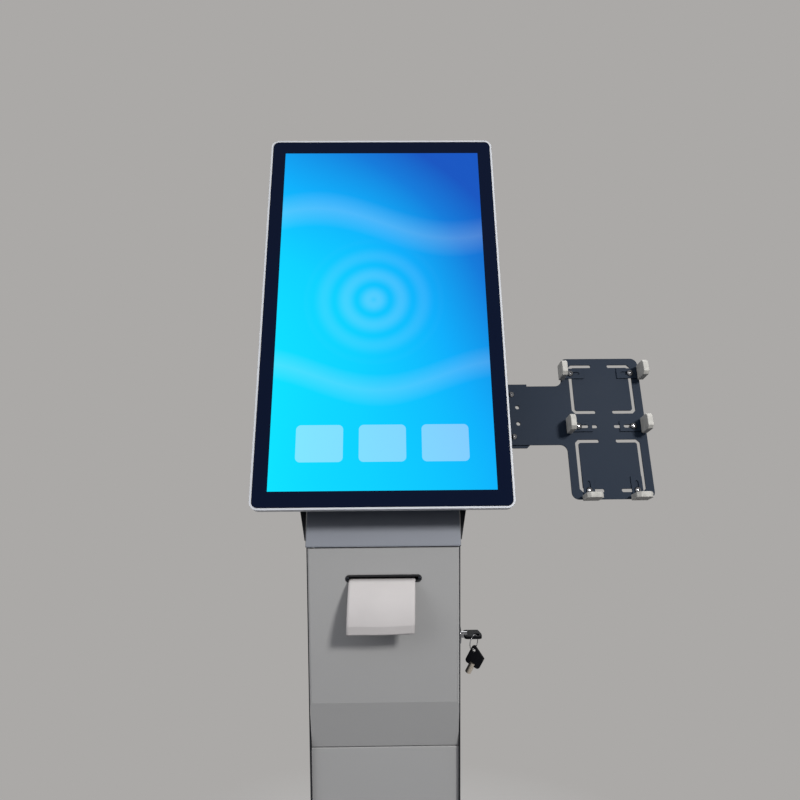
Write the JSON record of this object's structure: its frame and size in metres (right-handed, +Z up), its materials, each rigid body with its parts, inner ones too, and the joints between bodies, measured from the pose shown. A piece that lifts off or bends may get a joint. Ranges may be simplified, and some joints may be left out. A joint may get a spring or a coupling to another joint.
{
  "type": "self-ordering kiosk",
  "caption": "Floor-standing self-ordering kiosk with a tilted touch display, a locking receipt-printer door and a clip holder for a payment terminal.",
  "frame": {"origin": "centre of the floor anchor pattern on the base plate's underside, under the column", "axes": "+Z up, -Y towards the customer, +X to the customer's right, the side with the lock and the terminal holder"},
  "size_m": [0.5404, 0.4, 1.5523],
  "materials": {
    "frame_coat": "smooth white coat",
    "light_coat": "satin powder coat",
    "base_coat": "satin powder coat",
    "black_coat": "fine-textured black powder coat",
    "steel": "plain zinc-plated sheet",
    "nickel": "bright nickel plate",
    "supply_case": "folded aluminium case",
    "motor_case": "dull drawn can",
    "head_alloy": "die-cast",
    "cutter_plastic": "moulded",
    "black_plastic": "moulded",
    "gear_plastic": "natural moulded",
    "rocker_plastic": "moulded",
    "board": "lacquered board",
    "panel": "lit picture panel",
    "touch_glass": "black-edged cover glass",
    "grey_rubber": "matt moulded",
    "black_rubber": "ground",
    "paper": "thermal paper",
    "card": "wound card"
  },
  "bodies": {
    "column": {"base_plate": "base_coat", "column_foot": "black_coat", "side_plate_left": "black_coat", "side_plate_right": "black_coat", "rear_cover": "base_coat", "lower_panel": "light_coat", "neck_panel": "light_coat", "head_plate": "black_coat", "printer_shelf": "steel", "hinge_bracket": "steel", "base_bolts": "steel", "printer_frame": "steel", "print_head": "head_alloy", "feed_motor": "motor_case", "cutter_housing": "cutter_plastic", "paper_web": "paper", "power_supply": "supply_case", "power_inlet": "black_plastic", "front_frame": "frame_coat", "touch_glass": "touch_glass", "lcd_panel": "panel", "rear_housing": "black_coat", "main_board": "board", "machine_screws": "nickel", "holder_arm": "black_coat", "holder_plate": "black_coat", "clip_screws": "nickel", "lock_body": "nickel", "lock_nut": "nickel"},
    "door": {"printer_door": "light_coat", "slot_bezel": "black_plastic", "receipt_slip": "paper", "hinge_pins": "steel"},
    "lock": {"lock_plug": "steel", "lock_cam": "steel", "key_shank": "nickel", "key_head": "black_plastic"},
    "ring": {"key_ring": "nickel"},
    "spare_key": {"spare_key_head": "black_plastic", "spare_key_shank": "nickel"},
    "roll": {"paper_roll": "paper", "roll_core": "card"},
    "platen": {"platen_roller": "black_rubber", "platen_gear": "gear_plastic"},
    "idler": {"idler_gear": "gear_plastic"},
    "pinion": {"motor_pinion": "gear_plastic"},
    "cutter": {"cutter_blade": "steel"},
    "rocker": {"power_rocker": "rocker_plastic"},
    "holder_clip_upper_left": {"clip_upper_left": "black_coat", "sleeve_upper_left": "grey_rubber"},
    "holder_clip_upper_right": {"clip_upper_right": "black_coat", "sleeve_upper_right": "grey_rubber"},
    "holder_clip_middle_left": {"clip_middle_left": "black_coat", "sleeve_middle_left": "grey_rubber"},
    "holder_clip_middle_right": {"clip_middle_right": "black_coat", "sleeve_middle_right": "grey_rubber"},
    "holder_clip_lower_left": {"clip_lower_left": "black_coat", "sleeve_lower_left": "grey_rubber"},
    "holder_clip_lower_right": {"clip_lower_right": "black_coat", "sleeve_lower_right": "grey_rubber"}
  },
  "joints": [
    {"name": "door_swing", "type": "hinge", "parent": "column", "child": "door", "pos_m": [-0.08475, -0.065, 0.89], "axis": [0, 0, -1], "range_deg": [0, 90]},
    {"name": "lock_turn", "type": "hinge", "parent": "column", "child": "lock", "pos_m": [0.0939, -0.043, 0.899], "axis": [-1, 0, 0], "range_deg": [0, 90]},
    {"name": "ring_swing", "type": "hinge", "parent": "lock", "child": "ring", "pos_m": [0.11164, -0.05198, 0.902], "axis": [-0.6428, -0.766, 0], "range_deg": [-5, 15]},
    {"name": "spare_key_swing", "type": "hinge", "parent": "ring", "child": "spare_key", "pos_m": [0.11164, -0.05198, 0.884], "axis": [-0.6428, -0.766, 0], "range_deg": [-5, 45]},
    {"name": "roll_spin", "type": "hinge", "parent": "column", "child": "roll", "pos_m": [0, 0.012, 0.90385], "axis": [1, 0, 0], "continuous": true},
    {"name": "platen_spin", "type": "hinge", "parent": "column", "child": "platen", "pos_m": [0, -0.024, 0.97585], "axis": [1, 0, 0], "continuous": true},
    {"name": "idler_spin", "type": "hinge", "parent": "column", "child": "idler", "pos_m": [-0.054, -0.03221, 0.9533], "axis": [1, 0, 0], "continuous": true},
    {"name": "pinion_spin", "type": "hinge", "parent": "column", "child": "pinion", "pos_m": [-0.054, -0.04007, 0.93168], "axis": [1, 0, 0], "continuous": true},
    {"name": "cutter_slide", "type": "slide", "parent": "column", "child": "cutter", "axis": [0, 0, -1], "range_m": [0, 0.006]},
    {"name": "rocker_tilt", "type": "hinge", "parent": "column", "child": "rocker", "pos_m": [0.014, 0.067, 0.215], "axis": [-1, 0, 0], "range_deg": [0, 16]},
    {"name": "holder_clip_upper_left_slide", "type": "slide", "parent": "column", "child": "holder_clip_upper_left", "axis": [-1, 0, 0], "range_m": [0, 0.01]},
    {"name": "holder_clip_upper_right_slide", "type": "slide", "parent": "column", "child": "holder_clip_upper_right", "axis": [1, 0, 0], "range_m": [0, 0.01]},
    {"name": "holder_clip_middle_left_slide", "type": "slide", "parent": "column", "child": "holder_clip_middle_left", "axis": [-1, 0, 0], "range_m": [0, 0.01]},
    {"name": "holder_clip_middle_right_slide", "type": "slide", "parent": "column", "child": "holder_clip_middle_right", "axis": [1, 0, 0], "range_m": [0, 0.01]},
    {"name": "holder_clip_lower_left_slide", "type": "slide", "parent": "column", "child": "holder_clip_lower_left", "axis": [0, -0.3891, -0.9212], "range_m": [0, 0.01]},
    {"name": "holder_clip_lower_right_slide", "type": "slide", "parent": "column", "child": "holder_clip_lower_right", "axis": [0, -0.3891, -0.9212], "range_m": [0, 0.01]}
  ],
  "couplings": [
    {"joint": "platen_spin", "follows": "roll_spin", "ratio": 6.3333},
    {"joint": "idler_spin", "follows": "roll_spin", "ratio": -4.5238},
    {"joint": "pinion_spin", "follows": "roll_spin", "ratio": 7.037}
  ]
}
